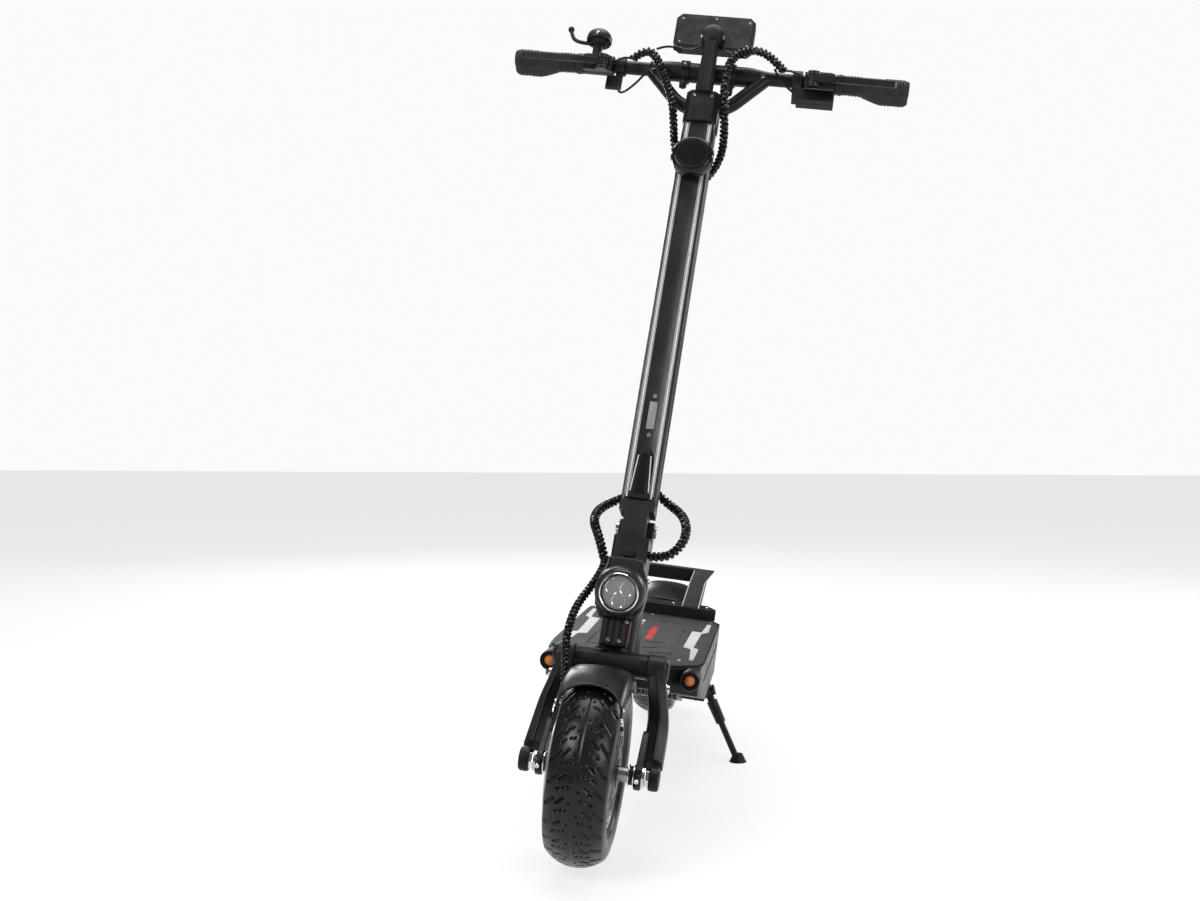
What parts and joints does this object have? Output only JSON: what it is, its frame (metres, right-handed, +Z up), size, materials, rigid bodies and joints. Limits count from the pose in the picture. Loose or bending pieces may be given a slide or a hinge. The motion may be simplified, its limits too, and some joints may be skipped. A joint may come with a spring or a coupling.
{
  "type": "electric kick scooter",
  "caption": "Folding electric kick scooter with hub-motor wheels, sprung arms, raked folding stem, braced handlebar, rubber deck and side stand, parked leaning on its stand.",
  "frame": {"origin": "bottom centre of the whole parked scooter's box, on the ground", "axes": "+Z up, the scooter faces -Y, +X is the rider's left, where the side stand is; the scooter leans 7 degrees towards +X"},
  "size_m": [0.6492, 1.1883, 1.2698],
  "materials": {
    "amber_lens": "amber",
    "bare_steel": "brushed",
    "battery": "wrapped pack",
    "black_paint": "satin black powder coat",
    "black_plastic": "fine texture",
    "cable_wrap": "spiral wrap",
    "chrome": "polished",
    "clear_lens": "clear",
    "dark_casting": "black anodised",
    "deck_rubber": "textured mat",
    "gloss_black": "gloss",
    "grip_rubber": "ribbed",
    "light_strip": "milky strip",
    "red_switch": "gloss",
    "screen_glass": "dark screen",
    "tyre": "matte"
  },
  "bodies": {
    "frame": {"deck_shell": "black_paint", "deck_bottom_cover": "black_paint", "deck_mat": "deck_rubber", "battery_pack": "battery", "motor_controllers": "dark_casting", "frame_neck": "black_paint", "headset_bearings": "bare_steel", "turn_signals": "amber_lens", "rear_riser": "black_paint", "charge_port": "black_plastic", "rear_pivot_bracket": "black_paint", "kickstand_bracket": "dark_casting"},
    "steering": {"fork_yoke": "black_paint", "headlight_housing": "gloss_black", "headlight_lens": "clear_lens", "steering_neck": "black_paint", "fold_pin": "chrome", "lower_loom_left": "cable_wrap", "lower_loom_right": "cable_wrap", "front_brake_hose": "cable_wrap"},
    "front_arm": {"front_arms": "dark_casting", "front_motor_axle": "bare_steel", "front_caliper": "dark_casting", "front_fender": "gloss_black"},
    "front_wheel": {"front_tyre": "tyre", "front_hub_motor": "dark_casting", "front_brake_disc": "bare_steel"},
    "rear_arm": {"rear_arms": "dark_casting", "rear_motor_axle": "bare_steel", "rear_caliper": "dark_casting", "rear_fender": "gloss_black"},
    "rear_wheel": {"rear_tyre": "tyre", "rear_hub_motor": "dark_casting", "rear_brake_disc": "bare_steel"},
    "stem": {"fold_hinge_head": "dark_casting", "stem_tube": "black_paint", "stem_light_strips": "light_strip", "stem_collar": "black_paint", "horn": "gloss_black", "handlebar": "black_paint", "display_mount": "black_paint", "display_housing": "black_plastic", "display_screen": "screen_glass", "grips": "grip_rubber", "brake_master_cylinders": "dark_casting", "bell": "gloss_black", "switch_pod": "black_plastic", "upper_looms": "cable_wrap"},
    "fold_latch": {"fold_latch": "dark_casting"},
    "lock_button": {"lock_button": "black_plastic"},
    "brake_lever_left": {"brake_lever_left": "dark_casting"},
    "brake_lever_right": {"brake_lever_right": "dark_casting"},
    "throttle_trigger": {"throttle_trigger": "black_plastic"},
    "bell_lever": {"bell_lever": "gloss_black"},
    "horn_button": {"horn_button": "red_switch"},
    "turn_switch": {"turn_switch": "black_plastic"},
    "light_switch": {"light_switch": "black_plastic"},
    "power_button": {"power_button": "red_switch"},
    "kickstand_leg": {"kickstand_leg": "dark_casting"},
    "charge_cap": {"charge_cap": "black_plastic"}
  },
  "joints": [
    {"name": "steering_turn", "type": "hinge", "parent": "frame", "child": "steering", "pos_m": [-0.10696, -0.31718, 0.28825], "axis": [0.1145, 0.342, 0.9327], "range_deg": [-45, 45]},
    {"name": "front_suspension", "type": "hinge", "parent": "steering", "child": "front_arm", "pos_m": [-0.11159, -0.36218, 0.25054], "axis": [-0.9925, 0, 0.1219], "range_deg": [0, 14], "stiffness_Nm_per_rad": 150, "springref_deg": -20.05, "deforming": ["front_brake_hose"]},
    {"name": "front_wheel_spin", "type": "hinge", "parent": "front_arm", "child": "front_wheel", "pos_m": [-0.12683, -0.46718, 0.12647], "axis": [0.9925, 0, -0.1219], "continuous": true},
    {"name": "rear_suspension", "type": "hinge", "parent": "frame", "child": "rear_arm", "pos_m": [-0.11915, 0.31782, 0.189], "axis": [0.9925, 0, -0.1219], "range_deg": [0, 12], "stiffness_Nm_per_rad": 220, "springref_deg": -17.19},
    {"name": "rear_wheel_spin", "type": "hinge", "parent": "rear_arm", "child": "rear_wheel", "pos_m": [-0.12683, 0.46282, 0.12647], "axis": [0.9925, 0, -0.1219], "continuous": true},
    {"name": "stem_fold", "type": "hinge", "parent": "steering", "child": "stem", "pos_m": [-0.09001, -0.24316, 0.42628], "axis": [-0.9925, 0, 0.1219], "range_deg": [0, 76], "deforming": ["lower_loom_left", "lower_loom_right"]},
    {"name": "fold_latch_turn", "type": "hinge", "parent": "steering", "child": "fold_latch", "pos_m": [-0.09776, -0.24394, 0.36319], "axis": [-0.9925, 0, 0.1219], "range_deg": [0, 70]},
    {"name": "lock_button_press", "type": "slide", "parent": "steering", "child": "lock_button", "axis": [-0.0417, 0.9397, -0.3395], "range_m": [0, 0.002], "stiffness_N_per_m": 800, "springref_m": -0.002},
    {"name": "brake_left_pull", "type": "hinge", "parent": "stem", "child": "brake_lever_left", "pos_m": [0.17025, -0.04157, 1.13462], "axis": [0.1214, -0.0872, 0.9888], "range_deg": [0, 10], "stiffness_Nm_per_rad": 2, "springref_deg": -8.59},
    {"name": "brake_right_pull", "type": "hinge", "parent": "stem", "child": "brake_lever_right", "pos_m": [-0.17119, -0.04157, 1.17654], "axis": [-0.1214, 0.0872, -0.9888], "range_deg": [0, 10], "stiffness_Nm_per_rad": 2, "springref_deg": -8.59},
    {"name": "throttle_pull", "type": "hinge", "parent": "stem", "child": "throttle_trigger", "pos_m": [-0.14392, 0.00226, 1.17705], "axis": [0.9925, 0, -0.1219], "range_deg": [0, 25], "stiffness_Nm_per_rad": 0.3, "springref_deg": -11.46},
    {"name": "bell_ring", "type": "hinge", "parent": "stem", "child": "bell_lever", "pos_m": [-0.18132, -0.01345, 1.20885], "axis": [0.1145, 0.342, 0.9327], "range_deg": [0, 18], "stiffness_Nm_per_rad": 0.2, "springref_deg": -5.73},
    {"name": "horn_press", "type": "slide", "parent": "stem", "child": "horn_button", "axis": [0.0417, -0.9397, 0.3395], "range_m": [0, 0.0015], "stiffness_N_per_m": 600, "springref_m": -0.001},
    {"name": "turn_switch_slide", "type": "slide", "parent": "stem", "child": "turn_switch", "axis": [0.9925, 0, -0.1219], "range_m": [-0.003, 0.003]},
    {"name": "light_switch_rock", "type": "hinge", "parent": "stem", "child": "light_switch", "pos_m": [0.19065, 0.00234, 1.10378], "axis": [0.9925, 0, -0.1219], "range_deg": [-8, 8]},
    {"name": "power_press", "type": "slide", "parent": "stem", "child": "power_button", "axis": [0.0417, -0.9397, 0.3395], "range_m": [0, 0.001], "stiffness_N_per_m": 600, "springref_m": -0.001},
    {"name": "kickstand_fold", "type": "hinge", "parent": "frame", "child": "kickstand_leg", "pos_m": [-0.02198, 0.12082, 0.11057], "axis": [0.9672, 0, 0.254], "range_deg": [0, 96]},
    {"name": "charge_cap_open", "type": "hinge", "parent": "frame", "child": "charge_cap", "pos_m": [-0.24303, -0.03268, 0.20572], "axis": [0, 1, 0], "range_deg": [0, 100]}
  ]
}
